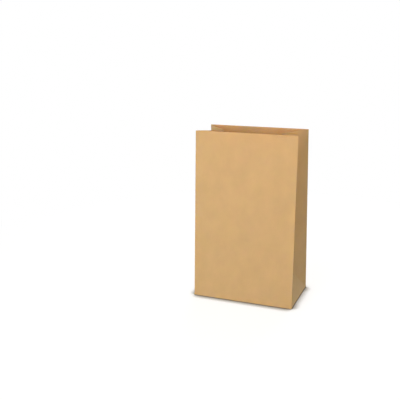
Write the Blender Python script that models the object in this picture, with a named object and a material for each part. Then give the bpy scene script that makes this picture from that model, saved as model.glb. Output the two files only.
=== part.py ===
"""Brown paper lunch bag, standing open: one sheet of kraft paper, folded and pasted.

The sheet is rolled into a four-sided tube whose two long edges lap down the back. The two
narrow sides are gussets with a valley crease up the middle. The lower end of the tube is
folded into a flat block bottom. The front and back panels lean together a little towards the
mouth, so each gusset folds inward above the triangle that leans in over the bottom.

Units are metres. The front panel faces -Y, and the origin is the middle of the bottom, on
the surface that the bag stands on.
"""

from math import acos, cos, hypot, pi, sin, sqrt, tan

import bmesh
import bpy
from mathutils import Vector

# Driving sizes of the folded sheet, outside to outside
PANEL_WIDTH = 0.150
BASE_DEPTH = 0.088
PANEL_HEIGHT = 0.248
MOUTH_INSET = 0.014  # how far the front and the back panel each lean in at the mouth
PAPER = 0.00015

# The lap down the back panel: its edge inside the bag, how far the two plies overlap, and
# how soon before the lap the inner ply is already down at its own level
SEAM_EDGE_X = -0.015
SEAM_LAP = 0.012
SEAM_EASE = 0.001

# The bottom: how far the two long flaps overlap, and the width of the step of the inner one
FLAP_OVERLAP = 0.016
FLAP_STEP = 0.002

# How far pasted plies sink into each other, and how far a fold's outer edge is rounded off
PASTE = 0.00002
FOLD_EASE = 0.0001

# How far a gusset half waves out and in at the mouth, on each side of the bag
RIGHT_GUSSET_WAVE = 0.002
LEFT_GUSSET_WAVE = 0.0005

# How far the bundling crease across the back panel stands out at its middle
CREASE_SPRING = 0.0004

# Facets
GUSSET_STEPS = 10
UPPER_ROWS = 12
PANEL_STEPS = 6

KRAFT = (0.62, 0.40, 0.20, 1.0)
KRAFT_ROUGHNESS = 0.85

# Worked out from the driving sizes
HALF_WIDTH = PANEL_WIDTH / 2
HALF_DEPTH = BASE_DEPTH / 2
LEAN_SIN = MOUTH_INSET / PANEL_HEIGHT
LEAN_COS = sqrt(1 - LEAN_SIN**2)
PLY_RISE = PAPER - PASTE
LAP_START_X = SEAM_EDGE_X - SEAM_LAP
FLAP_LENGTH = HALF_DEPTH + FLAP_OVERLAP / 2

# A flat sheet folded at 45 degrees from a bottom corner lets the base triangle of the gusset
# lean by just this much while the panel leans by its own angle.
BASE_LEAN = acos((1 - LEAN_SIN) / LEAN_COS)

# The gussets' end flaps lie on the long flaps and their tucked corners
END_FLAP_LEVEL = 2

FRONT, BACK = -1, 1
LEFT, RIGHT = -1, 1
GUSSET_WAVE = {RIGHT: RIGHT_GUSSET_WAVE, LEFT: LEFT_GUSSET_WAVE}


def clear_scene():
    for old in list(bpy.data.objects):
        bpy.data.objects.remove(old, do_unlink=True)


def kraft_paper():
    """Unbleached kraft: light brown, dull, not metallic."""
    paper = bpy.data.materials.new("kraft_paper")
    paper.use_nodes = True
    shader = paper.node_tree.nodes["Principled BSDF"]
    shader.inputs["Base Color"].default_value = KRAFT
    shader.inputs["Roughness"].default_value = KRAFT_ROUGHNESS
    shader.inputs["Metallic"].default_value = 0.0
    return paper


def sheet_rows():
    """Heights on the paper, from the bottom fold to the mouth.

    Below the gusset's apex they match the columns of a gusset half, so the 45 degree crease
    runs through the corners of the facets. The first row starts just above the fold.
    """
    below = [HALF_DEPTH * step / GUSSET_STEPS for step in range(1, GUSSET_STEPS + 1)]
    rise = (PANEL_HEIGHT - HALF_DEPTH) / UPPER_ROWS
    above = [HALF_DEPTH + rise * step for step in range(1, UPPER_ROWS + 1)]
    return [FOLD_EASE] + below + above


def mouth_share(height):
    """0 at the gusset's apex, 1 at the mouth."""
    return max(0.0, (height - HALF_DEPTH) / (PANEL_HEIGHT - HALF_DEPTH))


def crease_path(side):
    """Where the middle crease of a gusset lies above its apex: {height: (inward, z)}.

    The crease keeps its length on the paper, and so does each gusset half between the edge
    fold and the crease. Each next point is where two circles meet: one about the last point
    of the crease, and one about the level of the edge fold.
    """
    last = (HALF_DEPTH * sin(BASE_LEAN), HALF_DEPTH * cos(BASE_LEAN))
    last_height = HALF_DEPTH
    path = {HALF_DEPTH: last}
    for height in sheet_rows():
        if height <= HALF_DEPTH:
            continue
        wave = GUSSET_WAVE[side] * mouth_share(height)
        chord = HALF_DEPTH - (pi * wave) ** 2 / HALF_DEPTH
        reach = sqrt(chord**2 - (HALF_DEPTH - height * LEAN_SIN) ** 2)
        rise = height - last_height
        edge = (0.0, height * LEAN_COS)
        across = (last[0] - edge[0], last[1] - edge[1])
        apart = hypot(*across)
        along = (reach**2 - rise**2 + apart**2) / (2 * apart)
        off = sqrt(reach**2 - along**2)
        unit = (across[0] / apart, across[1] / apart)
        last = (
            edge[0] + along * unit[0] - off * unit[1],
            edge[1] + along * unit[1] + off * unit[0],
        )
        last_height = height
        path[height] = last
    return path


def panel_point(face, x, height, inset=0.0):
    """A point of the front or back panel, x from its middle and height up the paper."""
    y = HALF_DEPTH - height * LEAN_SIN - inset
    return Vector((x, face * y, height * LEAN_COS))


def gusset_point(side, face, across, height, crease):
    """A point of a gusset half, across from its edge fold and height up the paper."""
    if across >= height:
        inward = height * sin(BASE_LEAN)
        point = (HALF_WIDTH - inward, HALF_DEPTH - across, height * cos(BASE_LEAN))
    elif height <= HALF_DEPTH:
        inward = across * sin(BASE_LEAN)
        y = HALF_DEPTH - height * LEAN_SIN - across * (1 - LEAN_SIN)
        z = height * LEAN_COS + across * (cos(BASE_LEAN) - LEAN_COS)
        point = (HALF_WIDTH - inward, y, z)
    else:
        share = across / HALF_DEPTH
        inward, crease_z = crease[height]
        edge = Vector((HALF_WIDTH, HALF_DEPTH - height * LEAN_SIN, height * LEAN_COS))
        middle = Vector((HALF_WIDTH - inward, 0.0, crease_z))
        outward = Vector((edge.y, -inward, 0.0)).normalized()
        wave = GUSSET_WAVE[side] * mouth_share(height) * sin(2 * pi * share)
        point = edge.lerp(middle, share) + wave * outward
    return Vector((side * point[0], face * point[1], point[2]))


def spring(x, height):
    """The bundling crease: a low ridge across the back panel, level with the gusset's apex."""
    reach = HALF_DEPTH / 2
    near = max(0.0, 1 - abs(height - HALF_DEPTH) / reach)
    return CREASE_SPRING * near * cos(pi * x / PANEL_WIDTH)


def lap_inset(x):
    """How far the inner ply of the lap lies inside the back panel's own plane."""
    return PLY_RISE * min(1.0, (x + HALF_WIDTH) / (LAP_START_X - SEAM_EASE + HALF_WIDTH))


def spread(first, last, steps):
    return [first + (last - first) * step / steps for step in range(steps + 1)]


def sheet_columns():
    """Each column of the sheet as a function of the height, round the tube from lap to lap."""
    inner_ply_xs = spread(LAP_START_X - SEAM_EASE, -HALF_WIDTH, PANEL_STEPS // 2)
    widths = spread(0.0, HALF_DEPTH, GUSSET_STEPS)
    columns = []

    def inner_back(x):
        return lambda height: panel_point(BACK, x, height, lap_inset(x) - spring(x, height))

    def outer_back(x):
        return lambda height: panel_point(BACK, x, height, -spring(x, height))

    def front(x):
        return lambda height: panel_point(FRONT, x, height)

    def gusset(side, face, across, crease):
        return lambda height: gusset_point(side, face, across, height, crease)

    columns += [inner_back(x) for x in [SEAM_EDGE_X] + inner_ply_xs]
    for side, first, second in ((LEFT, BACK, FRONT), (RIGHT, FRONT, BACK)):
        crease = crease_path(side)
        columns += [gusset(side, first, across, crease) for across in widths[1:]]
        columns += [gusset(side, second, across, crease) for across in widths[-2:0:-1]]
        if side == LEFT:
            columns += [front(x) for x in spread(-HALF_WIDTH, HALF_WIDTH, PANEL_STEPS)]
    columns += [outer_back(x) for x in spread(HALF_WIDTH, LAP_START_X, PANEL_STEPS)]
    return columns


def facet(sheet, low_left, low_right, high_right, high_left):
    """One facet of the sheet. On a gusset it is split from its outer corner below to its inner
    corner above, which makes the 45 degree crease a line of true edges.
    """
    outer = abs(low_left.co.y) - abs(low_right.co.y)
    if abs(outer) < PAPER:
        sheet.faces.new((low_left, low_right, high_right, high_left))
    elif outer > 0:
        sheet.faces.new((low_left, low_right, high_right))
        sheet.faces.new((low_left, high_right, high_left))
    else:
        sheet.faces.new((low_left, low_right, high_left))
        sheet.faces.new((low_right, high_right, high_left))


def tube_sheet(paper):
    """The rolled sheet, one ply thick, from the bottom fold to the straight cut mouth."""
    sheet = bmesh.new()
    rows = sheet_rows()
    grid = [[sheet.verts.new(point_at(height)) for height in rows] for point_at in sheet_columns()]
    for left, right in zip(grid, grid[1:]):
        for row in range(len(rows) - 1):
            facet(sheet, left[row], right[row], right[row + 1], left[row + 1])
    mesh = bpy.data.meshes.new("lunch_bag")
    sheet.to_mesh(mesh)
    sheet.free()
    mesh.materials.append(paper)
    bag = bpy.data.objects.new("lunch_bag", mesh)
    bpy.context.scene.collection.objects.link(bag)
    thick = bag.modifiers.new("paper", "SOLIDIFY")
    thick.thickness = PAPER
    thick.offset = -1.0
    thick.use_even_offset = True
    thick.use_quality_normals = True
    return bag


def ply(name, outline, level, plies, step_y=None):
    """One flap of the bottom: a flat ply at its level, with a step up where step_y is given."""
    flap = bmesh.new()
    flap.faces.new([flap.verts.new((x, y, level * PLY_RISE)) for x, y in outline])
    if step_y is not None:
        for y in (step_y - FLAP_STEP, step_y):
            parts = flap.verts[:] + flap.edges[:] + flap.faces[:]
            bmesh.ops.bisect_plane(flap, geom=parts, plane_co=(0, y, 0), plane_no=(0, 1, 0))
        for vert in flap.verts:
            if vert.co.y > step_y - FLAP_STEP / 2:
                vert.co.z += PLY_RISE
    top = bmesh.ops.extrude_face_region(flap, geom=flap.faces[:])
    raised = [item for item in top["geom"] if isinstance(item, bmesh.types.BMVert)]
    bmesh.ops.translate(flap, verts=raised, vec=(0, 0, PAPER))
    bmesh.ops.recalc_face_normals(flap, faces=flap.faces)
    mesh = bpy.data.meshes.new(name)
    flap.to_mesh(mesh)
    flap.free()
    solid = bpy.data.objects.new(name, mesh)
    solid.hide_render = True
    solid.display_type = "WIRE"
    plies.objects.link(solid)


def long_flap(face):
    """The end of the front or back panel, its corners folded off at 45 degrees."""
    x = HALF_WIDTH - PAPER / 2
    y = HALF_DEPTH - PAPER / 2
    tip_x = x - FLAP_LENGTH
    tip_y = face * (y - FLAP_LENGTH)
    return [(-x, face * y), (x, face * y), (tip_x, tip_y), (-tip_x, tip_y)]


def tuck(face, side):
    """A folded corner of a long flap, which lies under it and stands back by one ply."""
    corner_x = HALF_WIDTH - PAPER / 2 - PAPER
    leg = FLAP_LENGTH - 2 * PAPER
    y = HALF_DEPTH - PAPER / 2
    return [
        (side * corner_x, face * y),
        (side * (corner_x - leg), face * y),
        (side * (corner_x - leg), face * (y - leg)),
    ]


def end_flap(side):
    """The end of a gusset, whole, folded in from the wall that leans over it."""
    fold_x = HALF_WIDTH - PAPER / 2 - END_FLAP_LEVEL * PLY_RISE * tan(BASE_LEAN)
    y = HALF_DEPTH - PAPER / 2
    free_x = fold_x - FLAP_LENGTH
    return [(side * free_x, -y), (side * fold_x, -y), (side * fold_x, y), (side * free_x, y)]


def block_bottom():
    """The flaps of the pasted bottom.

    The ends of the two gussets fold in first and lie on the inside. The front flap folds over
    them, its corners tucked under it, and the back flap last. Where the front flap reaches
    the back one's free edge it steps up on to it.
    """
    plies = bpy.data.collections.new("bottom_flaps")
    bpy.context.scene.collection.children.link(plies)
    back_flap_edge = HALF_DEPTH - PAPER / 2 - FLAP_LENGTH
    ply("back_flap", long_flap(BACK), 0, plies)
    ply("front_flap", long_flap(FRONT), 0, plies, step_y=back_flap_edge - PAPER)
    for side, name in ((LEFT, "left"), (RIGHT, "right")):
        ply(f"back_{name}_tuck", tuck(BACK, side), 1, plies)
        ply(f"front_{name}_tuck", tuck(FRONT, side), 1, plies, step_y=back_flap_edge - 2 * PAPER)
        ply(f"{name}_end_flap", end_flap(side), END_FLAP_LEVEL, plies)
    return plies


def paste_together(bag, plies):
    """Fuses the lapped seam and the bottom's plies, as paste does, into one solid."""
    pasted = bag.modifiers.new("paste", "BOOLEAN")
    pasted.operation = "UNION"
    pasted.operand_type = "COLLECTION"
    pasted.collection = plies
    pasted.solver = "EXACT"
    pasted.use_self = True


def main():
    clear_scene()
    bag = tube_sheet(kraft_paper())
    paste_together(bag, block_bottom())


main()
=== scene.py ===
# %% [markdown]
# # A brown paper lunch bag, standing open
#
# The real bag is one sheet of unbleached kraft paper. A machine rolls the sheet into a
# four-sided tube, presses a valley crease up the middle of each narrow side, laps the two long
# edges down the back with paste, and folds and pastes the lower end into a flat block bottom.
#
# This lesson folds the same sheet in numbers, gives it the small unevenness of real paper with
# Geometry Nodes, and finishes it with a kraft paper material. All lengths are in metres. The
# front panel faces -Y, and the bag stands on z = 0.

# %% Load the frame
from math import acos, cos, degrees, hypot, pi, radians, sin, sqrt

import bpy
import numpy as np
from mathutils import Matrix, Vector


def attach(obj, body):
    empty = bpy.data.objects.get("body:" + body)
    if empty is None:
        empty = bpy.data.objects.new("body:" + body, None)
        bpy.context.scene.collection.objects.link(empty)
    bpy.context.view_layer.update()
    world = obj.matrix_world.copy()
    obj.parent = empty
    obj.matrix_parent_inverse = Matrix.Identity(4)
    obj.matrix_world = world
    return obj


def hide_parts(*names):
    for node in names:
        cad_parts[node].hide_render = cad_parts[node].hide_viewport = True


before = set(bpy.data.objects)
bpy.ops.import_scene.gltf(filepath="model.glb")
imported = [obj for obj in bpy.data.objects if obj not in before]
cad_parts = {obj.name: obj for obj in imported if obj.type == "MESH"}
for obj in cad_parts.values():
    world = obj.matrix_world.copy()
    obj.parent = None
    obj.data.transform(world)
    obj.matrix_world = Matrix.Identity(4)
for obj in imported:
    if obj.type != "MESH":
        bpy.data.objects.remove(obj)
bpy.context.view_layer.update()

# %% [markdown]
# ## The camera
#
# A product picture of a small bag is taken from about a metre away with a long lens, so its
# upright edges stay nearly parallel. The camera could be placed with a target and a tracking
# constraint. Here its place and its three axes are written down instead, because a slight roll
# is part of the view, and because nothing is then left to work out when it is turned.

# %% Camera
CAMERA_PLACE = Vector((0.28365, -0.88777, 0.39982))
CAMERA_RIGHT = Vector((0.92583, 0.37774, -0.01233))
CAMERA_UP = Vector((-0.08912, 0.24990, 0.96416))
SENSOR_WIDTH = 36.0
LENS = 58.95

lens = bpy.data.cameras.new("camera")
lens.sensor_width = SENSOR_WIDTH
lens.lens = LENS
camera = bpy.data.objects.new("camera", lens)
bpy.context.scene.collection.objects.link(camera)
camera_back = CAMERA_RIGHT.cross(CAMERA_UP)
camera_axes = Matrix((CAMERA_RIGHT, CAMERA_UP, camera_back)).transposed()
camera.matrix_world = Matrix.Translation(CAMERA_PLACE) @ camera_axes.to_4x4()
bpy.context.scene.camera = camera
print("camera distance", round(CAMERA_PLACE.length, 3))

# %% [markdown]
# ## Helpers for node trees
#
# Materials and Geometry Nodes are both trees of nodes. Each node has sockets, and a link takes
# a value from one socket to the next. Three small helpers keep the trees below short: one adds
# a node and fills its inputs, and the other two do arithmetic on numbers and on vectors. An
# input may be given a plain value, or another node's output, which is then linked.


# %% Node helpers
def add_node(tree, kind, inputs=None, **settings):
    """Adds a node, changes its settings, and fills or links the inputs that are named."""
    node = tree.nodes.new(kind)
    for name, value in settings.items():
        setattr(node, name, value)
    for name, value in (inputs or {}).items():
        if isinstance(value, bpy.types.NodeSocket):
            tree.links.new(value, node.inputs[name])
        else:
            node.inputs[name].default_value = value
    return node


def calculate(tree, operation, *values):
    """A Math node: the result of an operation on one to three numbers."""
    node = add_node(tree, "ShaderNodeMath", dict(enumerate(values)), operation=operation)
    return node.outputs[0]


def vector_product(tree, first, second):
    """Two vectors multiplied, each part by its own part."""
    inputs = {0: first, 1: second}
    node = add_node(tree, "ShaderNodeVectorMath", inputs, operation="MULTIPLY")
    return node.outputs[0]


# %% [markdown]
# ## The driving sizes
#
# A flat-bottomed paper bag has few sizes: the width of its panels, the depth of its bottom, the
# height of the paper above the bottom fold, and how far the two panels lean together at the
# mouth. The last one sets how far the gussets fold inward, because paper doesn't stretch. These
# sizes repeat those of the solid that the scene was loaded with.

# %% Sizes
PANEL_WIDTH = 0.150
BASE_DEPTH = 0.088
PANEL_HEIGHT = 0.248
MOUTH_INSET = 0.014
PAPER = 0.00015

SEAM_EDGE_X = -0.015
SEAM_LAP = 0.012
SEAM_EASE = 0.001
SEAM_FADE = 3 * SEAM_EASE
FLAP_LENGTH = 0.052
FLAP_STEP = 0.002

RIGHT_GUSSET_WAVE = 0.002
LEFT_GUSSET_WAVE = 0.0005
CREASE_SPRING = 0.0004

HALF_WIDTH = PANEL_WIDTH / 2
HALF_DEPTH = BASE_DEPTH / 2
LEAN_SIN = MOUTH_INSET / PANEL_HEIGHT
LEAN_COS = sqrt(1 - LEAN_SIN**2)
BASE_LEAN = acos((1 - LEAN_SIN) / LEAN_COS)

# Pasted plies lie this far apart, just clear of each other
PLY_RISE = PAPER + 0.00003

print("the base triangles lean in by", round(degrees(BASE_LEAN), 2), "degrees")

# %% [markdown]
# ## The unrolled sheet
#
# Every point of the sheet has two coordinates: s, how far round the tube it lies, and v, how
# far up the paper it is from the bottom fold. Negative v is the end that folds under the bag.
# The upright folds are then lines of constant s, and the sheet falls into five strips between
# them: the pasted part of the back, the left gusset, the front, the right gusset, and the rest
# of the back, which laps over the first strip.
#
# The grid of points could be even, but a fold is much sharper than the rest of the paper. So
# the points lie close together beside each fold and each cut edge, and farther apart between.
# A gusset's columns and the rows of its lower end are spaced alike, which lets the creases
# that climb at 45 degrees from the bottom corners run exactly through grid points.

# %% Strips and spacing
BACK_INNER = HALF_WIDTH + SEAM_EDGE_X
BACK_OUTER = HALF_WIDTH - SEAM_EDGE_X + SEAM_LAP
STRIP_WIDTHS = (BACK_INNER, BASE_DEPTH, PANEL_WIDTH, BASE_DEPTH, BACK_OUTER)
STRIP_EDGES = [sum(STRIP_WIDTHS[:count]) for count in range(len(STRIP_WIDTHS) + 1)]
INNER_BACK, LEFT_GUSSET, FRONT_PANEL, RIGHT_GUSSET, OUTER_BACK = range(len(STRIP_WIDTHS))

BESIDE_FOLD = (0.0, 0.00025, 0.0006, 0.0012)
GUSSET_PITCH = 0.0011
PANEL_PITCH = 0.0036
UPPER_PITCH = 0.003
FLAP_PITCH = 0.004


def graded(length, pitch):
    """Distances from 0 to length: even between, and close together near both ends."""
    margin = BESIDE_FOLD[-1]
    steps = round((length - 2 * margin) / pitch)
    between = [margin + (length - 2 * margin) * step / steps for step in range(steps + 1)]
    return [*BESIDE_FOLD[:-1], *between, *(length - near for near in BESIDE_FOLD[-2::-1])]


gusset_half = graded(HALF_DEPTH, GUSSET_PITCH)
gusset_columns = gusset_half + [BASE_DEPTH - across for across in gusset_half[-2::-1]]
strip_columns = [
    graded(BACK_INNER, PANEL_PITCH),
    gusset_columns,
    graded(PANEL_WIDTH, PANEL_PITCH),
    gusset_columns,
    graded(BACK_OUTER, PANEL_PITCH),
]

# The front flap steps up on to the back one's free edge between these two distances
STEP_END = BASE_DEPTH - FLAP_LENGTH - PAPER
STEP_START = STEP_END - FLAP_STEP

flap_reaches = {*graded(FLAP_LENGTH, FLAP_PITCH), STEP_START, STEP_END}
flap_rows = sorted(-reach for reach in flap_reaches)
upper_rows = [HALF_DEPTH + rise for rise in graded(PANEL_HEIGHT - HALF_DEPTH, UPPER_PITCH)]
rows = np.array(flap_rows[:-1] + gusset_half + upper_rows[1:])
print("rows", len(rows), "columns", sum(map(len, strip_columns)))

# %% [markdown]
# ## Where a gusset's crease goes
#
# Paper bends but doesn't stretch. Above the bottom triangle, the crease in the middle of a
# gusset has to keep its length, and so has each gusset half between the crease and the upright
# fold beside it. That fixes the crease point by point: each next point is where two circles
# meet, one about the last point and one about the level of the upright fold. A loop says this
# more plainly than nodes would, because each point needs the one before it.

# %% The crease of a gusset
CREASE_STEPS = 204


def mouth_share(height):
    """0 at the top of the bottom triangle, 1 at the mouth."""
    return np.clip((height - HALF_DEPTH) / (PANEL_HEIGHT - HALF_DEPTH), 0, 1)


def crease_path(wave_at_mouth):
    """Heights on the paper, and the crease's distance inward and its z at each of them."""
    heights = np.linspace(HALF_DEPTH, PANEL_HEIGHT, CREASE_STEPS + 1)
    path = [(HALF_DEPTH * sin(BASE_LEAN), HALF_DEPTH * cos(BASE_LEAN))]
    rise = heights[1] - heights[0]
    for height in heights[1:]:
        # A wave takes up some of the half gusset's width, so that its ends come closer
        wave = wave_at_mouth * mouth_share(height)
        chord = HALF_DEPTH - (pi * wave) ** 2 / HALF_DEPTH
        reach = sqrt(chord**2 - (HALF_DEPTH - height * LEAN_SIN) ** 2)
        across, up = path[-1][0], path[-1][1] - height * LEAN_COS
        apart = hypot(across, up)
        along = (reach**2 - rise**2 + apart**2) / (2 * apart)
        off = sqrt(reach**2 - along**2)
        inward = (along * across - off * up) / apart
        path.append((inward, height * LEAN_COS + (along * up + off * across) / apart))
    return heights, *np.array(path).T


GUSSET_WAVES = {LEFT_GUSSET: LEFT_GUSSET_WAVE, RIGHT_GUSSET: RIGHT_GUSSET_WAVE}
creases = {strip: crease_path(wave) for strip, wave in GUSSET_WAVES.items()}
for strip, (_, inward, _) in creases.items():
    print("gusset", strip, "folds in at the mouth by", round(inward[-1] * 1000, 1), "mm")

# %% [markdown]
# ## Folding the sheet
#
# Each strip gets a function from sheet coordinates to a place in space. A panel is a leaning
# plane. A gusset half has three parts: the bottom triangle, which leans in with the wall above
# the end flap, the triangle beside the upright fold, and the long part up to the mouth, which
# runs from the upright fold to the crease with a slight wave.
#
# Below the bottom fold, the ends of the gussets fold in first and lie on the inside. The front
# flap folds over them, and the back flap last. The corners of the two long flaps are folded
# away at 45 degrees, which makes each of them a trapezoid. The grid's outer columns are drawn
# together there, and the middle ones run straight on, as the seam does.

# %% Panels and the long flaps
# The middle share of a long flap keeps its columns straight
KEPT_SHARE = 0.85


def lap_inset(x):
    """How far the inner ply of the lap lies behind the outer one, and what lies on it."""
    lap_start = SEAM_EDGE_X - SEAM_LAP - SEAM_EASE
    lap_end = SEAM_EDGE_X + SEAM_EASE
    places = (-HALF_WIDTH, lap_start, lap_end, SEAM_EDGE_X + SEAM_FADE)
    return np.interp(x, places, (0.0, PLY_RISE, PLY_RISE, 0.0))


def bundling_ridge(x, height):
    """The low ridge across the back where the flat bag's bottom was folded up."""
    near = np.clip(1 - abs(height - HALF_DEPTH) / (HALF_DEPTH / 2), 0, 1)
    return CREASE_SPRING * near * np.cos(pi * x / PANEL_WIDTH)


def tucked(x, reach):
    """Where x lies on a long flap whose corners are folded away at 45 degrees."""
    half = HALF_WIDTH - reach
    kept = KEPT_SHARE * half
    squeezed = kept + (abs(x) - kept) * (half - kept) / (HALF_WIDTH - kept)
    return np.where(abs(x) < kept, x, np.sign(x) * squeezed)


def fold_panel(strip, s, v):
    """Points of the front or the back panel and of the flap below it."""
    face = -1 if strip == FRONT_PANEL else 1
    x = {
        INNER_BACK: SEAM_EDGE_X - s,
        FRONT_PANEL: s - STRIP_EDGES[FRONT_PANEL] - HALF_WIDTH,
        OUTER_BACK: HALF_WIDTH + STRIP_EDGES[OUTER_BACK] - s,
    }[strip]
    inset = lap_inset(x) if strip == INNER_BACK else 0.0
    ridge = 0.0 if strip == FRONT_PANEL else bundling_ridge(x, v)
    wall_y = HALF_DEPTH - v * LEAN_SIN - inset + ridge
    wall = (x, face * wall_y, v * LEAN_COS)

    reach = np.maximum(-v, 0)
    flap_x = tucked(x, reach)
    step = np.interp(reach, (STEP_START, STEP_END), (0.0, 1.0))
    flap_z = {
        INNER_BACK: lap_inset(flap_x),
        FRONT_PANEL: step * (PLY_RISE + lap_inset(flap_x)),
        OUTER_BACK: 0.0,
    }[strip]
    flap = (flap_x, face * (HALF_DEPTH - reach), flap_z)
    return np.stack([np.where(v < 0, low, high) for low, high in zip(flap, wall)], axis=-1)


front_foot = fold_panel(FRONT_PANEL, np.array([STRIP_EDGES[FRONT_PANEL]]), np.array([0.0]))
print("front panel's left foot", front_foot.round(4).tolist())

# %% Gussets and the end flaps
# The end flaps stop short of the long walls by this share of their width, and each of the two
# plies that they lie on is this much farther away than its own thickness
WALL_CLEARANCE = 0.010
PLY_CLEARANCE = PAPER / 10


def fold_gusset(strip, s, v):
    """Points of a gusset and of the end flap below it."""
    side = -1 if strip == LEFT_GUSSET else 1
    from_start = s - STRIP_EDGES[strip]
    first_half = from_start < HALF_DEPTH
    face = np.where(first_half, -side, side)
    across = np.where(first_half, from_start, BASE_DEPTH - from_start)

    # The end flap lies on the long flaps and their tucked corners, two plies up
    flap_x = HALF_WIDTH + np.minimum(v, 0)
    reach = np.maximum(-v, 0)
    lifted = np.clip((across + reach) / BESIDE_FOLD[-1], 0, 1)
    flap_rise = lifted * (2 * (PLY_RISE + PLY_CLEARANCE) + lap_inset(side * flap_x))
    fold_v = flap_rise / cos(BASE_LEAN)
    narrowed = 1 - WALL_CLEARANCE * np.clip(reach / BESIDE_FOLD[-1], 0, 1)
    flap_out = HALF_WIDTH - fold_v * sin(BASE_LEAN) - (fold_v - v)
    flap = (flap_out, (HALF_DEPTH - across) * narrowed, flap_rise)

    triangle = (HALF_WIDTH - v * sin(BASE_LEAN), HALF_DEPTH - across, v * cos(BASE_LEAN))
    beside_fold = (
        HALF_WIDTH - across * sin(BASE_LEAN),
        HALF_DEPTH - v * LEAN_SIN - across * (1 - LEAN_SIN),
        v * LEAN_COS + across * (cos(BASE_LEAN) - LEAN_COS),
    )

    heights, crease_inward, crease_z = creases[strip]
    inward, middle_z = np.interp(v, heights, crease_inward), np.interp(v, heights, crease_z)
    edge_y = HALF_DEPTH - v * LEAN_SIN
    share = across / HALF_DEPTH
    wave = GUSSET_WAVES[strip] * mouth_share(v) * np.sin(2 * pi * share)
    slope = np.hypot(edge_y, inward)
    upper = (
        HALF_WIDTH - inward * share + wave * edge_y / slope,
        edge_y * (1 - share) - wave * inward / slope,
        v * LEAN_COS * (1 - share) + middle_z * share,
    )

    conditions = [v < fold_v, across >= v, v <= HALF_DEPTH]
    whole = zip(flap, triangle, beside_fold, upper)
    x, y, z = (np.select(conditions, parts[:-1], parts[-1]) for parts in whole)
    return np.stack([side * x, face * y, z], axis=-1)


crease_line = np.array([STRIP_EDGES[RIGHT_GUSSET] + HALF_DEPTH])
crease_top = fold_gusset(RIGHT_GUSSET, crease_line, np.array([PANEL_HEIGHT]))
print("right crease at the mouth", crease_top.round(4).tolist())

# %% [markdown]
# ## Rounding the folds
#
# A folded sheet with perfectly sharp folds looks like cut metal. Paper keeps a small radius.
# A Bevel modifier could round the edges, but it would also pull the creases that meet at the
# corners apart. Instead each grid point takes the weighted mean of the folded places just
# around it on the sheet, which rounds every fold by the same small amount and leaves the flat
# parts exactly flat.

# %% Rounded places of the whole sheet
FOLD_SOFTNESS = 0.00022
WEIGHTS = (1, 4, 6, 4, 1)


def fold_sheet(strip, s, v):
    """Sharp places. Above the bottom fold a point may lie on a neighbouring strip."""
    low, high = STRIP_EDGES[strip], STRIP_EDGES[strip + 1]
    inside = np.clip(s, low, high)
    s = np.where(v < 0, inside, np.clip(s, STRIP_EDGES[0], STRIP_EDGES[-1]))
    places = np.zeros((*s.shape, 3))
    for other in (strip - 1, strip + 1, strip):
        if not 0 <= other < len(STRIP_WIDTHS):
            continue
        fold = fold_gusset if other in GUSSET_WAVES else fold_panel
        here = (s >= STRIP_EDGES[other]) & (s <= STRIP_EDGES[other + 1])
        if here.any():
            places[here] = fold(other, s[here], v[here])
    return places


def rounded(strip, s, v):
    """The weighted mean of the places around each point of the sheet."""
    total = np.zeros((*s.shape, 3))
    reach = len(WEIGHTS) // 2
    for i, across_weight in enumerate(WEIGHTS):
        for j, up_weight in enumerate(WEIGHTS):
            ds, dv = (i - reach) * FOLD_SOFTNESS, (j - reach) * FOLD_SOFTNESS
            near_v = np.clip(v + dv, rows[0], rows[-1])
            total += across_weight * up_weight * fold_sheet(strip, s + ds, near_v)
    return total / sum(WEIGHTS) ** 2


# %% [markdown]
# ## From strips to one mesh
#
# The strips share the points of the upright folds above the bottom, and come apart below it,
# where the flaps fold separately. A square of the grid that a 45 degree crease crosses is split
# along the crease, so that the crease is a line of true edges.
#
# Each point also keeps three numbers for later. "crease" is 1 on a fold, "slack" grows from 0
# at the folds to 1 in the middle of a panel and is 0 on the pasted flaps, and "seam" is 1 on
# the pasted lap. The sheet coordinates are kept as a UV map, because the fibres of the paper
# run with the sheet.

# %% Distances to the folds
# The folds are painted paler over about this width, partly as wear and partly as a painted
# highlight
FOLD_WEAR_AND_HIGHLIGHT_WIDTH = 0.0007
SLACK_REACH = 0.020
SEAM_REACH = 0.016
# The bundling fold is painted paler by this share, as wear and as a painted highlight
BUNDLING_WEAR_AND_HIGHLIGHT = 0.7
FAR_AWAY = 1.0


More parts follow.
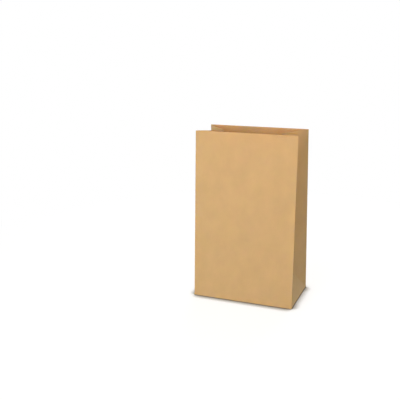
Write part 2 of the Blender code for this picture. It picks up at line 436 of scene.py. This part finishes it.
def sheet_traits(strip, s, v):
    """For each point: its nearness to a fold, its slack, and its nearness to the seam."""
    from_start, to_end = s - STRIP_EDGES[strip], STRIP_EDGES[strip + 1] - s
    far = np.full(s.shape, FAR_AWAY)
    distances = [abs(v)]
    distances.append(far if strip == INNER_BACK else from_start)
    distances.append(far if strip == OUTER_BACK else to_end)
    seam = np.zeros(s.shape)
    if strip in GUSSET_WAVES:
        across = np.minimum(from_start, to_end)
        diagonal = np.where((v > 0) & (v < HALF_DEPTH), abs(across - v) / sqrt(2), far)
        distances += [diagonal, np.where(v >= HALF_DEPTH, HALF_DEPTH - across, far)]
    nearest = np.min(distances, axis=0)
    slack = np.clip(nearest / SLACK_REACH, 0, 1)
    crease = np.exp(-((nearest / FOLD_WEAR_AND_HIGHLIGHT_WIDTH) ** 2))
    if strip in (INNER_BACK, OUTER_BACK):
        # The bundling fold across the back is painted paler too, as wear and as a painted
        # highlight
        bundling_fold = np.exp(-(((v - HALF_DEPTH) / FOLD_WEAR_AND_HIGHLIGHT_WIDTH) ** 2))
        crease = np.maximum(crease, BUNDLING_WEAR_AND_HIGHLIGHT * bundling_fold)
        x = SEAM_EDGE_X - s if strip == INNER_BACK else HALF_WIDTH - from_start
        from_lap = np.maximum(0, abs(x - SEAM_EDGE_X + SEAM_LAP / 2) - SEAM_LAP / 2)
        seam = 1 - np.clip(from_lap / SEAM_REACH, 0, 1)
    smooth = np.where(v < 0, 0.0, slack * slack * (3 - 2 * slack))
    return crease, smooth, seam * np.clip(v / SLACK_REACH, 0, 1)


# %% Build the sheet
DIAGONAL_TOLERANCE = 0.0001


def build_sheet():
    """The folded sheet, one ply without thickness, as an object."""
    corners, places, traits, faces = {}, [], [], []
    sheet_places = []
    for strip, columns in enumerate(strip_columns):
        s_values = STRIP_EDGES[strip] + np.array(columns)
        s, v = np.meshgrid(s_values, rows, indexing="ij")
        strip_places = rounded(strip, s, v)
        strip_traits = np.stack(sheet_traits(strip, s, v), axis=-1)
        grid = np.zeros(s.shape, dtype=int)
        for index, height in np.ndenumerate(v):
            shared = height >= 0 and index[0] in (0, len(columns) - 1)
            edge = strip + (index[0] > 0)
            key = ("edge", edge, index[1]) if shared else (strip, *index)
            if key not in corners:
                corners[key] = len(places)
                places.append(strip_places[index])
                traits.append(strip_traits[index])
                sheet_places.append((s[index], height))
            grid[index] = corners[key]
        across = np.minimum(s_values - s_values[0], s_values[-1] - s_values)
        for column in range(len(columns) - 1):
            for row in range(len(rows) - 1):
                a, b = grid[column, row], grid[column + 1, row]
                c, d = grid[column + 1, row + 1], grid[column, row + 1]
                crossed = strip in GUSSET_WAVES and 0 <= rows[row] < HALF_DEPTH
                if crossed and abs(across[column] - rows[row]) < DIAGONAL_TOLERANCE:
                    faces += [(a, b, c), (a, c, d)]
                elif crossed and abs(across[column + 1] - rows[row]) < DIAGONAL_TOLERANCE:
                    faces += [(a, b, d), (b, c, d)]
                else:
                    faces.append((a, b, c, d))
    mesh = bpy.data.meshes.new("folded_bag")
    mesh.from_pydata([tuple(place) for place in places], [], faces)
    for name, values in zip(("crease", "slack", "seam"), np.array(traits).T):
        attribute = mesh.attributes.new(name, "FLOAT", "POINT")
        attribute.data.foreach_set("value", np.ascontiguousarray(values, dtype=np.float32))
    uv = mesh.uv_layers.new(name="sheet")
    loops = np.zeros(len(mesh.loops), dtype=np.int32)
    mesh.loops.foreach_get("vertex_index", loops)
    uv.data.foreach_set("uv", np.array(sheet_places, dtype=np.float32)[loops].ravel())
    mesh.shade_smooth()
    sheet = bpy.data.objects.new("folded_bag", mesh)
    bpy.context.scene.collection.objects.link(sheet)
    return sheet


bag = build_sheet()
front_face = min(bag.data.polygons, key=lambda face: face.center.y)
print("sheet faces", len(bag.data.polygons))
print("front normal", tuple(round(c, 2) for c in front_face.normal))

# %% [markdown]
# ## Kraft paper
#
# Unbleached kraft is light brown, dull and a little cloudy, because the fibres lie unevenly
# thick. On the machine the fibres line up along the web, which runs up the bag, so the fine
# streaks are upright. Here and there a darker splinter of wood or a paler fibre shows. The
# folds are painted a little paler, partly as wear from rubbing and partly as a painted
# highlight where the rounded fold catches the light.
#
# An image texture could show all this, but it would repeat and blur. Noise textures that read
# the sheet coordinates give endless detail at true size, and follow each fold of the paper.


# %% Helpers for patterns
def sheet_noise(tree, place, size, detail=2.0, roughness=0.5, offset=0.0):
    """Noise whose spots are size[0] wide round the bag and size[1] long up it, in mm."""
    stretched = vector_product(tree, place, (1 / size[0], 1 / size[1], 1.0))
    inputs = {"Vector": stretched, "W": offset, "Scale": 1.0}
    inputs |= {"Detail": detail, "Roughness": roughness}
    return add_node(tree, "ShaderNodeTexNoise", inputs, noise_dimensions="4D").outputs[0]


def remap(tree, value, low, high, first, last):
    """Takes the range from low to high on to the range from first to last, and stops there."""
    inputs = {"Value": value, "From Min": low, "From Max": high, "To Min": first, "To Max": last}
    return add_node(tree, "ShaderNodeMapRange", inputs, clamp=True).outputs[0]


def above(tree, value, low, high, most=1.0):
    """0 where the value is under low, rising to most where it is over high."""
    return remap(tree, value, low, high, 0.0, most)


def mix_colour(tree, share, first, second):
    """A colour between two, by share."""
    node = add_node(tree, "ShaderNodeMix", data_type="RGBA")
    colour_sockets = (node.inputs[0], node.inputs[6], node.inputs[7])
    for socket, value in zip(colour_sockets, (share, first, second)):
        if isinstance(value, bpy.types.NodeSocket):
            tree.links.new(value, socket)
        else:
            socket.default_value = value
    return node.outputs[2]


def toned(tree, shade, noise, tone):
    """A shade, made darker or lighter by up to half of the tone as the noise goes."""
    lowered = calculate(tree, "SUBTRACT", shade, tone / 2)
    return calculate(tree, "MULTIPLY_ADD", noise, tone, lowered)


# %% Kraft paper material
KRAFT = (0.678, 0.464, 0.226, 1.0)
KRAFT_PALE = (0.740, 0.520, 0.300, 1.0)
KRAFT_DARK = (0.300, 0.160, 0.070, 1.0)
MILLIMETRES = (1000.0, 1000.0, 1000.0)

# How wide round the bag and how long up it the spots of each noise are, in millimetres
CLOUD_SIZE = (24.0, 34.0)
STREAK_SIZE = (0.8, 14.0)
FIBRE_SIZE = (0.16, 1.3)
GRAIN_SIZE = (0.12, 0.12)
SPLINTER_SIZE = (0.35, 1.5)
THREAD_SIZE = (0.22, 2.4)

# How far each noise takes the colour from dark to light
CLOUD_TONE = 0.24
STREAK_TONE = 0.07
FIBRE_TONE = 0.16

# Where a noise is high enough for a thread or a splinter to begin and to be whole, and how much
# of its own colour it then shows
THREAD_SPOTS = (0.66, 0.76, 0.5)
SPLINTER_SPOTS = (0.70, 0.78, 0.6)
# How much paler the folds are painted, partly as wear and partly as a painted highlight
FOLD_WEAR_AND_HIGHLIGHT = 0.22

# The higher fibres are duller than the lower ones, and the bump raises them
FIBRE_RANGE = (0.3, 0.7)
ROUGHNESS_RANGE = (0.72, 0.88)
GLOSS_LEVEL = 0.35
FIBRE_RELIEF, GRAIN_RELIEF = 0.6, 0.4
RELIEF_STRENGTH = 0.35
RELIEF_HEIGHT = 0.00012

# How deep light goes into the paper, and how that depth differs in red, green and blue
GLOW_DEPTH = 0.00022
GLOW_THROUGH = (1.0, 0.9, 0.40)


def kraft_material():
    """Unbleached kraft paper: clouds, streaks, splinters, and folds painted paler as wear and
    highlight.
    """
    material = bpy.data.materials.new("kraft_paper")
    material.use_nodes = True
    tree = material.node_tree
    shader = tree.nodes["Principled BSDF"]
    uv = add_node(tree, "ShaderNodeUVMap", uv_map="sheet").outputs[0]
    place = vector_product(tree, uv, MILLIMETRES)

    clouds = sheet_noise(tree, place, CLOUD_SIZE, detail=4.0)
    streaks = sheet_noise(tree, place, STREAK_SIZE, detail=3.0, roughness=0.6, offset=3.0)
    fibres = sheet_noise(tree, place, FIBRE_SIZE, detail=3.0, roughness=0.65, offset=7.0)
    grain = sheet_noise(tree, place, GRAIN_SIZE, offset=11.0)
    splinters = sheet_noise(tree, place, SPLINTER_SIZE, detail=1.0, offset=17.0)
    threads = sheet_noise(tree, place, THREAD_SIZE, detail=1.0, offset=23.0)
    crease = add_node(tree, "ShaderNodeAttribute", attribute_name="crease").outputs["Fac"]

    shade = 1.0
    for noise, tone in ((clouds, CLOUD_TONE), (streaks, STREAK_TONE), (fibres, FIBRE_TONE)):
        shade = toned(tree, shade, noise, tone)
    shaded = {0: KRAFT[:3], "Scale": shade}
    base = add_node(tree, "ShaderNodeVectorMath", shaded, operation="SCALE").outputs[0]
    base = mix_colour(tree, above(tree, threads, *THREAD_SPOTS), base, KRAFT_PALE)
    base = mix_colour(tree, above(tree, splinters, *SPLINTER_SPOTS), base, KRAFT_DARK)
    # Folds painted paler: partly wear, partly a painted highlight of the rounded edge
    base = mix_colour(tree, calculate(tree, "MULTIPLY", crease, FOLD_WEAR_AND_HIGHLIGHT), base, KRAFT_PALE)
    tree.links.new(base, shader.inputs["Base Color"])

    roughness = remap(tree, fibres, *FIBRE_RANGE, *ROUGHNESS_RANGE)
    tree.links.new(roughness, shader.inputs["Roughness"])
    shader.inputs["Specular IOR Level"].default_value = GLOSS_LEVEL
    shader.inputs["Subsurface Weight"].default_value = 1.0
    shader.inputs["Subsurface Radius"].default_value = GLOW_THROUGH
    shader.inputs["Subsurface Scale"].default_value = GLOW_DEPTH

    grains = calculate(tree, "MULTIPLY", grain, GRAIN_RELIEF)
    relief = calculate(tree, "MULTIPLY_ADD", fibres, FIBRE_RELIEF, grains)
    pressed = {"Height": relief, "Strength": RELIEF_STRENGTH, "Distance": RELIEF_HEIGHT}
    bump = add_node(tree, "ShaderNodeBump", pressed)
    tree.links.new(bump.outputs[0], shader.inputs["Normal"])
    return material


kraft = kraft_material()
print("kraft paper nodes", len(kraft.node_tree.nodes))

# %% [markdown]
# ## The unevenness of the paper
#
# Paper is never quite flat. It cockles: wide, shallow swells where it took up damp, and small
# puckers beside the paste of the seam. They could be sculpted, but they follow a rule, so a
# Geometry Nodes tree makes them. It moves each point along its normal by a noise that reads
# the point's own place. The two plies of the seam lie at the same place, so they swell
# together and don't cut through each other. The "slack" and "seam" numbers keep the swells
# off the folds and the puckers on the seam.


# %% Cockle tree
def cockle_tree():
    """Moves points along their normals: wide swells between the folds, puckers on the seam."""
    tree = bpy.data.node_groups.new("paper_cockle", "GeometryNodeTree")
    sizes = ("Swell Depth", "Swell Size", "Pucker Depth", "Pucker Size", "Seed")
    sockets = {"Sheet": "NodeSocketGeometry"}
    sockets |= {name: "NodeSocketFloat" for name in sizes}
    sockets["Paper"] = "NodeSocketMaterial"
    identifiers = {}
    for name, kind in sockets.items():
        socket = tree.interface.new_socket(name, in_out="INPUT", socket_type=kind)
        identifiers[name] = socket.identifier
    tree.interface.new_socket("Bag", in_out="OUTPUT", socket_type="NodeSocketGeometry")
    given = add_node(tree, "NodeGroupInput").outputs
    position = add_node(tree, "GeometryNodeInputPosition").outputs[0]
    normal = add_node(tree, "GeometryNodeInputNormal").outputs[0]

    def trait(name):
        return add_node(tree, "GeometryNodeInputNamedAttribute", {"Name": name}).outputs[0]

    def uneven(size, depth, share):
        frequency = calculate(tree, "DIVIDE", 1.0, size)
        inputs = {"Vector": position, "W": given["Seed"], "Scale": frequency, "Detail": 1.0}
        noise = add_node(tree, "ShaderNodeTexNoise", inputs, noise_dimensions="4D").outputs[0]
        centred = calculate(tree, "MULTIPLY_ADD", noise, 2.0, -1.0)
        return calculate(tree, "MULTIPLY", calculate(tree, "MULTIPLY", centred, depth), share)

    swell = uneven(given["Swell Size"], given["Swell Depth"], trait("slack"))
    pucker = uneven(given["Pucker Size"], given["Pucker Depth"], trait("seam"))
    push = calculate(tree, "ADD", swell, pucker)
    pushed = {0: normal, "Scale": push}
    offset = add_node(tree, "ShaderNodeVectorMath", pushed, operation="SCALE").outputs[0]
    moved = {"Geometry": given["Sheet"], "Offset": offset}
    uneven_sheet = add_node(tree, "GeometryNodeSetPosition", moved).outputs[0]
    real = add_node(tree, "GeometryNodeRealizeInstances", {"Geometry": uneven_sheet}).outputs[0]
    papered = {"Geometry": real, "Material": given["Paper"]}
    result = add_node(tree, "GeometryNodeSetMaterial", papered).outputs[0]
    add_node(tree, "NodeGroupOutput", {"Bag": result})
    return tree, identifiers


def settle(piece):
    """Makes the result of a piece's modifiers its plain mesh and removes the modifiers."""
    graph = bpy.context.evaluated_depsgraph_get()
    plain = bpy.data.meshes.new_from_object(
        piece.evaluated_get(graph), preserve_all_data_layers=True, depsgraph=graph
    )
    piece.modifiers.clear()
    piece.data = plain


cockle, cockle_inputs = cockle_tree()
cockle_values = {
    "Swell Depth": 0.0006,
    "Swell Size": 0.060,
    "Pucker Depth": 0.00025,
    "Pucker Size": 0.012,
    "Seed": 5.0,
    "Paper": kraft,
}
nodes_modifier = bag.modifiers.new("cockle", "NODES")
nodes_modifier.node_group = cockle
for name, value in cockle_values.items():
    nodes_modifier[cockle_inputs[name]] = value
settle(bag)
print("points after cockling", len(bag.data.vertices), "in", bag.data.materials[0].name)

# %% [markdown]
# ## The thickness of the paper
#
# So far the sheet has no thickness. The Solidify modifier gives it a second skin inside the
# first and a rim along every cut edge. Its offset of -1 keeps the outside where it is. The rim
# meets the skins at a right angle, so those edges are marked sharp, and the gentle folds stay
# smooth.

# %% Thicken the sheet
RIM_ANGLE = radians(50)

thickness = bag.modifiers.new("thickness", "SOLIDIFY")
thickness.thickness = PAPER
thickness.offset = -1.0
thickness.use_quality_normals = True
settle(bag)
bag.data.set_sharp_from_angle(angle=RIM_ANGLE)
print("paper triangles", sum(len(face.vertices) - 2 for face in bag.data.polygons))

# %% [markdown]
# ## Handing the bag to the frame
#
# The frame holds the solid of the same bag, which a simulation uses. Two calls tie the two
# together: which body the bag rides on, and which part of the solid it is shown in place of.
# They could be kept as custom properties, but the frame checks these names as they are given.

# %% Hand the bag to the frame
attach(bag, "root")
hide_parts("lunch_bag")
print("bag size", tuple(round(side, 4) for side in bag.dimensions))

# %% [markdown]
# ## Floor and light
#
# A product picture is taken on a white sweep in soft light. The main lamp stands in front of
# the bag, a little above its mouth. A lower one at the right opens up the gusset, one high
# above the front shines down into the mouth, and one behind the bag shows how the paper lets
# light through. The two that light the gusset and the inside are slightly warm, as light is
# that comes off other paper. The world fills in from everywhere.
#
# The floor is a plain plane whose material keeps the bag's soft shadow. To the camera it adds
# a little of its own white, so that only the deepest part of the shadow shows: a soft strip
# beside the bag, and a thin dark line where the bag touches the floor. The Ambient Occlusion
# node finds both, because its rays end a few millimetres away. Lamps as soft as these throw a
# shadow that is too wide and pale to show either strip by itself.

# %% Lamps
LIT_POINT = Vector((0.0, 0.0, 0.12))
KEY_PLACE = Vector((-0.20, -0.90, 0.36))
KEY_SIZE = 0.45
KEY_POWER = 3.6
SIDE_PLACE = Vector((0.85, -1.05, 0.15))
SIDE_SIZE = 0.8
SIDE_POWER = 6.2
TOP_PLACE = Vector((0.05, -0.60, 1.20))
TOP_SIZE = 0.8
TOP_POWER = 5.0
BACK_PLACE = Vector((-0.10, 1.20, 0.40))
BACK_SIZE = 1.0
BACK_POWER = 15.0
PLAIN_LIGHT = (1.0, 1.0, 1.0)
WARM_LIGHT = (1.0, 0.88, 0.72)


def area_lamp(name, place, size, power, colour):
    """A square lamp that faces the bag."""
    lamp = bpy.data.lights.new(name, "AREA")
    lamp.size = size
    lamp.energy = power
    lamp.color = colour
    holder = bpy.data.objects.new(name, lamp)
    holder.location = place
    holder.rotation_mode = "QUATERNION"
    holder.rotation_quaternion = (LIT_POINT - place).to_track_quat("-Z", "Y")
    bpy.context.scene.collection.objects.link(holder)
    print(name, "lamp", round((LIT_POINT - place).length, 2), "m away")


area_lamp("key", KEY_PLACE, KEY_SIZE, KEY_POWER, PLAIN_LIGHT)
area_lamp("side", SIDE_PLACE, SIDE_SIZE, SIDE_POWER, WARM_LIGHT)
area_lamp("top", TOP_PLACE, TOP_SIZE, TOP_POWER, WARM_LIGHT)
area_lamp("back", BACK_PLACE, BACK_SIZE, BACK_POWER, PLAIN_LIGHT)

# %% World
WORLD_FILL = 0.30
WHITE = (1.0, 1.0, 1.0, 1.0)


def seen_directly(tree):
    """1 for rays that come from the camera, or by a mirror or glass, and 0 for the rest."""
    path = add_node(tree, "ShaderNodeLightPath").outputs
    mirrored = calculate(tree, "MAXIMUM", path["Is Glossy Ray"], path["Is Transmission Ray"])
    return calculate(tree, "MAXIMUM", path["Is Camera Ray"], mirrored)


world = bpy.data.worlds.new("studio")
world.use_nodes = True
bpy.context.scene.world = world
world_tree = world.node_tree
background = world_tree.nodes["Background"]
background.inputs["Color"].default_value = WHITE
world_seen = seen_directly(world_tree)
world_light = remap(world_tree, world_seen, 0.0, 1.0, WORLD_FILL, 1.0)
world_tree.links.new(world_light, background.inputs["Strength"])
print("the world lights with", WORLD_FILL, "and is seen as white")

# %% Floor
FLOOR_SIZE = 20.0
FLOOR_GAP = 0.00005
FLOOR_WHITE = 0.30
SEEN_WHITE = 0.30
FLOOR_GLOW = 0.78
GLOW_RISES_FROM, GLOW_FULL_AT = 0.15, 0.60
SHADOW_STRIP = 0.018
SHADOW_OPENS_TO = (-0.80, -0.50, 0.30)
SHADOW_TINT = (0.30, 0.26, 0.21, 1.0)
CONTACT_STRIP = 0.0024
CONTACT_TINT = (0.22, 0.17, 0.11, 1.0)
OPEN_FROM, OPEN_AT = 0.62, 0.92
SHADE_RAYS = 24


def floor_material():
    """White that keeps the shadow and has two strips of shade. Only the camera sees its glow."""
    material = bpy.data.materials.new("white_floor")
    material.use_nodes = True
    tree = material.node_tree
    tree.nodes.clear()

    def shade_beside(colour, reach, **aim):
        """White, and the colour where something stands nearer than the reach."""
        rays = {"Distance": reach, **aim}
        node = add_node(tree, "ShaderNodeAmbientOcclusion", rays, samples=SHADE_RAYS)
        return mix_colour(tree, above(tree, node.outputs["AO"], OPEN_FROM, OPEN_AT), colour, WHITE)

    strip = shade_beside(SHADOW_TINT, SHADOW_STRIP, Normal=SHADOW_OPENS_TO)
    tint = vector_product(tree, strip, shade_beside(CONTACT_TINT, CONTACT_STRIP))
    place = add_node(tree, "ShaderNodeTexCoord").outputs["Object"]
    away = add_node(tree, "ShaderNodeVectorMath", {0: place}, operation="LENGTH").outputs["Value"]

    def towards_backdrop(near, far):
        """One value beside the bag and another far from it."""
        return remap(tree, away, GLOW_RISES_FROM, GLOW_FULL_AT, near, far)

    white = (FLOOR_WHITE, FLOOR_WHITE, FLOOR_WHITE, 1.0)
    plain = add_node(tree, "ShaderNodeBsdfDiffuse", {"Color": white}).outputs[0]
    seen_white = vector_product(tree, tint, towards_backdrop(SEEN_WHITE, 0.0))
    seen_glow = {"Color": tint, "Strength": towards_backdrop(FLOOR_GLOW, 1.0)}
    shaded = add_node(tree, "ShaderNodeBsdfDiffuse", {"Color": seen_white}).outputs[0]
    glow = add_node(tree, "ShaderNodeEmission", seen_glow).outputs[0]
    seen = add_node(tree, "ShaderNodeAddShader", {0: shaded, 1: glow}).outputs[0]
    inputs = {0: seen_directly(tree), 1: plain, 2: seen}
    either = add_node(tree, "ShaderNodeMixShader", inputs).outputs[0]
    add_node(tree, "ShaderNodeOutputMaterial", {"Surface": either})
    return material


floor_mesh = bpy.data.meshes.new("floor")
half_floor = FLOOR_SIZE / 2
corner_signs = ((-1, -1), (1, -1), (1, 1), (-1, 1))
floor_corners = [(x * half_floor, y * half_floor, -FLOOR_GAP) for x, y in corner_signs]
floor_mesh.from_pydata(floor_corners, [], [(0, 1, 2, 3)])
floor_mesh.materials.append(floor_material())
floor = bpy.data.objects.new("floor", floor_mesh)
bpy.context.scene.collection.objects.link(floor)
bpy.context.scene.view_settings.view_transform = "Standard"
print("floor nodes", len(floor_mesh.materials[0].node_tree.nodes))
